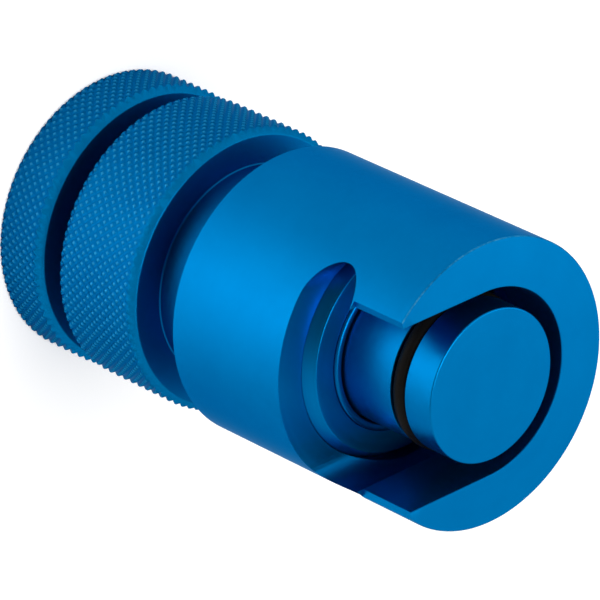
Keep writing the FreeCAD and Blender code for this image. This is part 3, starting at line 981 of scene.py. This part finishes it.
finishNode("thrust_washer", acetal)
finishNode("snap_ring", springWire)
finishNode("knob_screw", platedScrew)
print("small parts finished")


# Floor, light and camera

lampAbove = {"place": (-0.04, -0.1, 0.6), "aim": (-0.026, -0.062, 0)}

# the two spots above light a pool on the floor, which the body's highlight mirrors
studio = {
    "floorSize": 6.0,
    "floorDrop": 0.02 * mm,
    "floorColour": (0.75, 0.75, 0.75),
    "floorRoughness": 0.9,
    "floorShine": 0.1,
    "floorGlow": 0.4,
    "skyLevel": 0.75,
    "cameraSideLevel": 0.04,
    "cameraSideReach": (0.5, 0.9),
    "topLamp": {"place": (-0.2, -0.1, 1.2), "aim": (0, 0, 0.03), "width": 0.8, "watts": 8.0},
    "faceLamp": {"place": (-0.01, 0.087, 0.157), "aim": (0, 0, 0.055), "width": 0.1, "watts": 0.035},
    "poolLamp": {**lampAbove, "width": 0.02, "watts": 15.0, "cone": 12.0},
    "coreLamp": {**lampAbove, "width": 0.01, "watts": 12.0, "cone": 4.5},
}

viewpoint = {
    "azimuth": 37.89,
    "elevation": 42.62,
    "roll": 115.09,
    "aim": (0.452 * mm, 0.092 * mm, 28.377 * mm),
    "distance": 637.02 * mm,
    "lens": 386.8,
    "sensor": 36.0,
    "clip": (0.01, 20),
}


def viewDirection():
    azimuth, elevation = math.radians(viewpoint["azimuth"]), math.radians(viewpoint["elevation"])
    return Vector((math.sin(azimuth) * math.cos(elevation), math.cos(azimuth) * math.cos(elevation),
                   -math.sin(elevation)))


def makeFloor():
    startClean()
    bpy.ops.mesh.primitive_plane_add(size=studio["floorSize"], location=(0, 0, -studio["floorDrop"]))
    floor = bpy.context.object
    floor.name = "studioFloor"
    # glows only where the camera sees it, so that it reads white without lighting the object
    material, nodes, links, shader = newMaterial("paperFloor")
    shader.inputs["Base Color"].default_value = (*studio["floorColour"], 1)
    shader.inputs["Roughness"].default_value = studio["floorRoughness"]
    shader.inputs["Specular IOR Level"].default_value = studio["floorShine"]
    glow = nodes.new("ShaderNodeEmission")
    light = nodes.new("ShaderNodeLightPath")
    seen = nodes.new("ShaderNodeMath")
    seen.operation = "MAXIMUM"
    level = nodes.new("ShaderNodeMath")
    level.operation = "MULTIPLY"
    level.inputs[1].default_value = studio["floorGlow"]
    both = nodes.new("ShaderNodeAddShader")
    links.new(light.outputs["Is Camera Ray"], seen.inputs[0])
    links.new(light.outputs["Is Transmission Ray"], seen.inputs[1])
    links.new(seen.outputs[0], level.inputs[0])
    links.new(level.outputs[0], glow.inputs["Strength"])
    links.new(shader.outputs[0], both.inputs[0])
    links.new(glow.outputs[0], both.inputs[1])
    links.new(both.outputs[0], nodes["Material Output"].inputs["Surface"])
    floor.data.materials.append(material)


def makeWorld():
    # a white tent, dark on the camera's side, so that the square gaps look back into the dark
    world = bpy.data.worlds.new("studioWorld")
    bpy.context.scene.world = world
    world.use_nodes = True
    nodes, links = world.node_tree.nodes, world.node_tree.links
    direction = nodes.new("ShaderNodeTexCoord")
    towards = nodes.new("ShaderNodeVectorMath")
    towards.operation = "DOT_PRODUCT"
    towards.inputs[1].default_value = -viewDirection()
    links.new(direction.outputs["Generated"], towards.inputs[0])
    near, full = studio["cameraSideReach"]
    level = mapTo(nodes, links, towards.outputs["Value"], studio["skyLevel"], studio["cameraSideLevel"],
                  near, full)
    links.new(level, nodes["Background"].inputs["Strength"])
    nodes["Background"].inputs["Color"].default_value = (1, 1, 1, 1)


def addLamp(name, kind, place, aim, width, watts, cone=None):
    light = bpy.data.lights.new(name, kind)
    light.energy = watts
    if kind == "AREA":
        light.shape = "DISK"
        light.size = width
    else:
        light.shadow_soft_size = width
        light.spot_size = math.radians(cone)
        light.spot_blend = 1.0
    lamp = bpy.data.objects.new(name, light)
    bpy.context.scene.collection.objects.link(lamp)
    lamp.location = place
    lamp.rotation_euler = (Vector(aim) - Vector(place)).to_track_quat("-Z", "Y").to_euler()


def makeCamera():
    forward = viewDirection()
    data = bpy.data.cameras.new("photoCamera")
    data.lens = viewpoint["lens"]
    data.sensor_width = viewpoint["sensor"]
    data.clip_start, data.clip_end = viewpoint["clip"]
    camera = bpy.data.objects.new("photoCamera", data)
    bpy.context.scene.collection.objects.link(camera)
    camera.location = Vector(viewpoint["aim"]) - forward * viewpoint["distance"]
    camera.rotation_mode = "QUATERNION"
    level = forward.to_track_quat("-Z", "Y")
    camera.rotation_quaternion = level @ Quaternion((0, 0, 1), math.radians(viewpoint["roll"]))
    bpy.context.scene.camera = camera


makeFloor()
makeWorld()
addLamp("topLamp", "AREA", **studio["topLamp"])
addLamp("faceLamp", "AREA", **studio["faceLamp"])
addLamp("poolLamp", "SPOT", **studio["poolLamp"])
addLamp("coreLamp", "SPOT", **studio["coreLamp"])
makeCamera()
bpy.context.scene.view_settings.view_transform = "Standard"
print("studio made")
